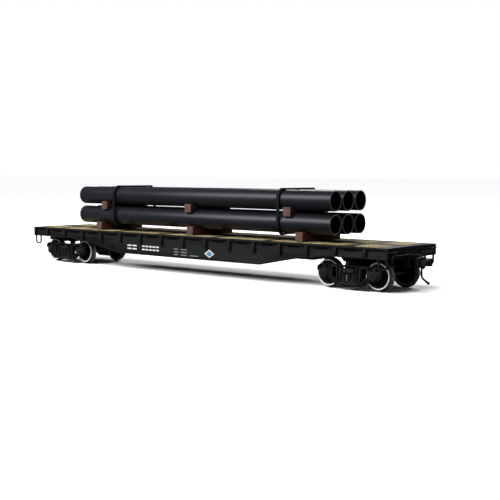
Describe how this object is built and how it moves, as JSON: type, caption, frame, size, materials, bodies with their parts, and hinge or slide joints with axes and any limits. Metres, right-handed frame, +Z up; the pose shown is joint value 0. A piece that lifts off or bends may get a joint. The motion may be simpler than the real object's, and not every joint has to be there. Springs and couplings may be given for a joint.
{
  "type": "model flat car",
  "caption": "O gauge model fishbelly flat car with planked deck panels, sprung trucks, knuckle couplers and a strapped load of pipes in two rows.",
  "frame": {"origin": "on the ground plane under the middle of the car, level with the bottoms of the wheel flanges", "axes": "+X along the car towards end b, +Y across it to its left, +Z up"},
  "size_m": [0.366, 0.06, 0.0636],
  "materials": {
    "body_black": "satin",
    "truck_black": "matte",
    "deck_wood": "matte",
    "load_timber": "matte",
    "pipe_coat": "matte",
    "strap_black": "matte",
    "wheel_steel": "polished",
    "axle_steel": "satin",
    "coupler_black": "matte",
    "hose_rubber": "matte",
    "screw_steel": "satin"
  },
  "bodies": {
    "car_body": {"deck_frame": "body_black", "deck_panels_left": "deck_wood", "deck_panels_right": "deck_wood", "side_sill_left": "body_black", "side_sill_right": "body_black", "stake_pockets_left": "body_black", "stake_pockets_right": "body_black", "end_sills": "body_black", "center_sill": "body_black", "cross_bearers": "body_black", "floor_stringers": "body_black", "body_bolsters": "body_black", "kingpins": "screw_steel", "draft_boxes": "body_black", "draft_box_covers": "body_black", "coupler_pivot_screws": "screw_steel", "sill_steps": "body_black", "grab_irons": "body_black", "uncoupling_levers": "body_black", "angle_cocks": "truck_black", "air_hoses": "hose_rubber", "brake_cylinder": "body_black", "air_reservoir": "body_black", "control_valve": "body_black", "brake_rods": "truck_black", "brake_wheel": "truck_black", "brake_wheel_bracket": "body_black"},
    "load": {"pipes_lower": "pipe_coat", "pipes_upper": "pipe_coat", "timber_blocks": "load_timber", "timber_spacers": "load_timber", "straps": "strap_black"},
    "truck_a": {"side_frames_a": "truck_black", "truck_bolster_a": "truck_black", "truck_springs_a": "truck_black", "truck_brakes_a": "truck_black"},
    "truck_b": {"side_frames_b": "truck_black", "truck_bolster_b": "truck_black", "truck_springs_b": "truck_black", "truck_brakes_b": "truck_black"},
    "wheelset_1": {"axle_1": "axle_steel", "wheels_1": "wheel_steel", "bearing_caps_1": "truck_black"},
    "wheelset_2": {"axle_2": "axle_steel", "wheels_2": "wheel_steel", "bearing_caps_2": "truck_black"},
    "wheelset_3": {"axle_3": "axle_steel", "wheels_3": "wheel_steel", "bearing_caps_3": "truck_black"},
    "wheelset_4": {"axle_4": "axle_steel", "wheels_4": "wheel_steel", "bearing_caps_4": "truck_black"},
    "coupler_body_a": {"coupler_a": "coupler_black"},
    "coupler_body_b": {"coupler_b": "coupler_black"},
    "knuckle_body_a": {"knuckle_a": "coupler_black"},
    "knuckle_body_b": {"knuckle_b": "coupler_black"}
  },
  "joints": [
    {"name": "load_lift", "type": "slide", "parent": "car_body", "child": "load", "axis": [0, 0, 1], "range_m": [0, 0.04]},
    {"name": "truck_a_swivel", "type": "hinge", "parent": "car_body", "child": "truck_a", "pos_m": [-0.138, 0, 0.0174], "axis": [0, 0, 1], "range_deg": [-15, 15]},
    {"name": "truck_b_swivel", "type": "hinge", "parent": "car_body", "child": "truck_b", "pos_m": [0.138, 0, 0.0174], "axis": [0, 0, 1], "range_deg": [-15, 15]},
    {"name": "wheelset_1_spin", "type": "hinge", "parent": "truck_a", "child": "wheelset_1", "pos_m": [-0.1565, 0, 0.00995], "axis": [0, 1, 0], "continuous": true},
    {"name": "wheelset_2_spin", "type": "hinge", "parent": "truck_a", "child": "wheelset_2", "pos_m": [-0.1195, 0, 0.00995], "axis": [0, 1, 0], "continuous": true},
    {"name": "wheelset_3_spin", "type": "hinge", "parent": "truck_b", "child": "wheelset_3", "pos_m": [0.1195, 0, 0.00995], "axis": [0, 1, 0], "continuous": true},
    {"name": "wheelset_4_spin", "type": "hinge", "parent": "truck_b", "child": "wheelset_4", "pos_m": [0.1565, 0, 0.00995], "axis": [0, 1, 0], "continuous": true},
    {"name": "coupler_a_swing", "type": "hinge", "parent": "car_body", "child": "coupler_body_a", "pos_m": [-0.156, 0, 0.0187], "axis": [0, 0, 1], "range_deg": [-8, 8]},
    {"name": "coupler_b_swing", "type": "hinge", "parent": "car_body", "child": "coupler_body_b", "pos_m": [0.156, 0, 0.0187], "axis": [0, 0, 1], "range_deg": [-8, 8]},
    {"name": "knuckle_a_open", "type": "hinge", "parent": "coupler_body_a", "child": "knuckle_body_a", "pos_m": [-0.1788, 0.0027, 0.0187], "axis": [0, 0, -1], "range_deg": [0, 35]},
    {"name": "knuckle_b_open", "type": "hinge", "parent": "coupler_body_b", "child": "knuckle_body_b", "pos_m": [0.1788, -0.0027, 0.0187], "axis": [0, 0, -1], "range_deg": [0, 35]}
  ]
}
